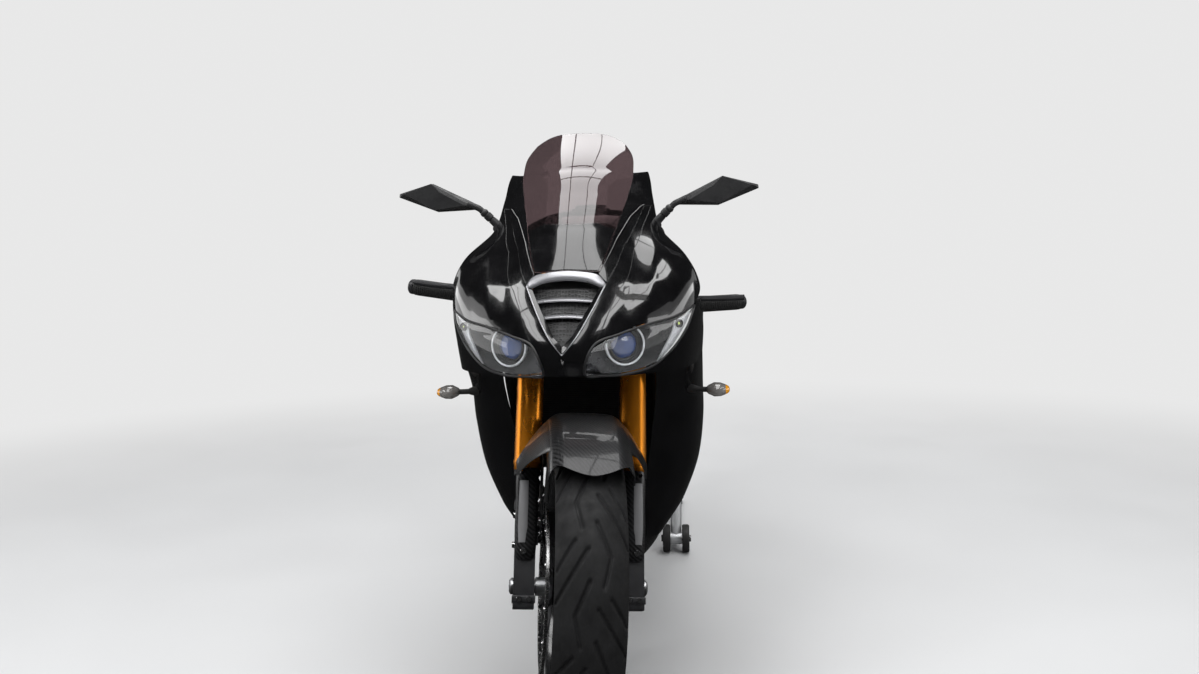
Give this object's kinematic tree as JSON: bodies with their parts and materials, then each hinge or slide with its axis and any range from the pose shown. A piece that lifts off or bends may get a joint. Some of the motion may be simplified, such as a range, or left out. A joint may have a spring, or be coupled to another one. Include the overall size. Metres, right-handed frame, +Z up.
{
  "type": "sport bike",
  "caption": "Fully faired sport bike in gloss black with gold fork tubes, tall tinted screen and diamond mirrors, raised on a rear paddock stand.",
  "frame": {"origin": "on the floor at the middle of the bounding box, in the machine's centre plane", "axes": "+Z up, -Y towards the front wheel, +X to the rider's left"},
  "size_m": [0.716, 2.095, 1.161],
  "materials": {
    "gloss_black": "high gloss lacquered bodywork",
    "carbon_weave": "clear-coated twill weave",
    "matte_plastic": "fine-grained moulded plastic",
    "screen_tint": "dark tinted clear plastic",
    "lens_clear": "clear moulded lens",
    "grille_silver": "satin silver over black mesh",
    "fork_gold": "gold anodised",
    "cast_black": "satin black casting",
    "wheel_black": "gloss black cast wheel",
    "bare_aluminium": "brushed and cast aluminium",
    "steel": "ground and drilled steel",
    "exhaust_steel": "heat-tinted stainless steel",
    "frame_grey": "satin dark frame paint",
    "tyre_rubber": "road tyre rubber",
    "rubber": "ribbed soft rubber",
    "seat_cover": "stitched grained seat cover",
    "lamp_red": "clear red lens",
    "signal_smoke": "smoked lens with an amber tip",
    "stand_paint": "silver powder coat"
  },
  "bodies": {
    "root": {"nose_fairing": "gloss_black", "grille": "grille_silver", "headlights": "lens_clear", "screen": "screen_tint", "side_fairing_left": "gloss_black", "side_fairing_right": "gloss_black", "belly_fairing": "gloss_black", "mirrors": "matte_plastic", "turn_signals": "signal_smoke", "instruments": "matte_plastic", "main_frame": "frame_grey", "subframe": "frame_grey", "engine": "bare_aluminium", "radiator": "bare_aluminium", "exhaust_headers": "exhaust_steel", "silencer": "exhaust_steel", "fuel_tank": "gloss_black", "rider_seat": "seat_cover", "passenger_seat": "seat_cover", "tail_fairing": "gloss_black", "tail_lamp": "lamp_red", "plate_holder": "matte_plastic", "foot_controls": "bare_aluminium", "swingarm": "frame_grey", "rear_axle": "steel", "shock_absorber": "steel", "rear_caliper": "cast_black", "chain": "steel", "rear_hugger": "matte_plastic", "paddock_stand": "stand_paint"},
    "steering": {"front_axle": "steel", "fork_outer_tubes": "fork_gold", "fork_legs": "cast_black", "front_calipers": "cast_black", "front_mudguard": "carbon_weave", "yokes": "cast_black", "handlebars": "cast_black", "grips": "rubber"},
    "front_wheel_body": {"front_tyre": "tyre_rubber", "front_wheel": "wheel_black", "front_discs": "steel"},
    "rear_wheel_body": {"rear_tyre": "tyre_rubber", "rear_wheel": "wheel_black", "rear_disc_sprocket": "steel"},
    "side_stand_body": {"side_stand": "cast_black"},
    "fuel_cap_body": {"fuel_cap": "cast_black"},
    "stand_wheels_left_body": {"stand_wheels_left": "rubber"},
    "stand_wheels_right_body": {"stand_wheels_right": "rubber"}
  },
  "joints": [
    {"name": "steering", "type": "hinge", "parent": "root", "child": "steering", "pos_m": [0, -0.55458, 0.68665], "axis": [0, 0.3827, 0.9239], "range_deg": [-35.7, 14.3]},
    {"name": "front_wheel_spin", "type": "hinge", "parent": "steering", "child": "front_wheel_body", "pos_m": [0.00605, -0.74948, 0.29978], "axis": [0.9826, 0.1715, -0.0711], "continuous": true},
    {"name": "rear_wheel_spin", "type": "hinge", "parent": "root", "child": "rear_wheel_body", "pos_m": [0, 0.645, 0.36], "axis": [1, 0, 0], "continuous": true},
    {"name": "side_stand_swing", "type": "hinge", "parent": "root", "child": "side_stand_body", "pos_m": [0.152, 0.02, 0.304], "axis": [-0.9613, 0, -0.2756], "range_deg": [0, 100]},
    {"name": "fuel_cap_lid", "type": "hinge", "parent": "root", "child": "fuel_cap_body", "pos_m": [0, -0.287, 1.0188], "axis": [1, 0, 0], "range_deg": [0, 95]},
    {"name": "stand_wheels_left_spin", "type": "hinge", "parent": "root", "child": "stand_wheels_left_body", "pos_m": [0.176, 0.44, 0.042], "axis": [1, 0, 0], "continuous": true},
    {"name": "stand_wheels_right_spin", "type": "hinge", "parent": "root", "child": "stand_wheels_right_body", "pos_m": [-0.176, 0.44, 0.042], "axis": [1, 0, 0], "continuous": true}
  ]
}
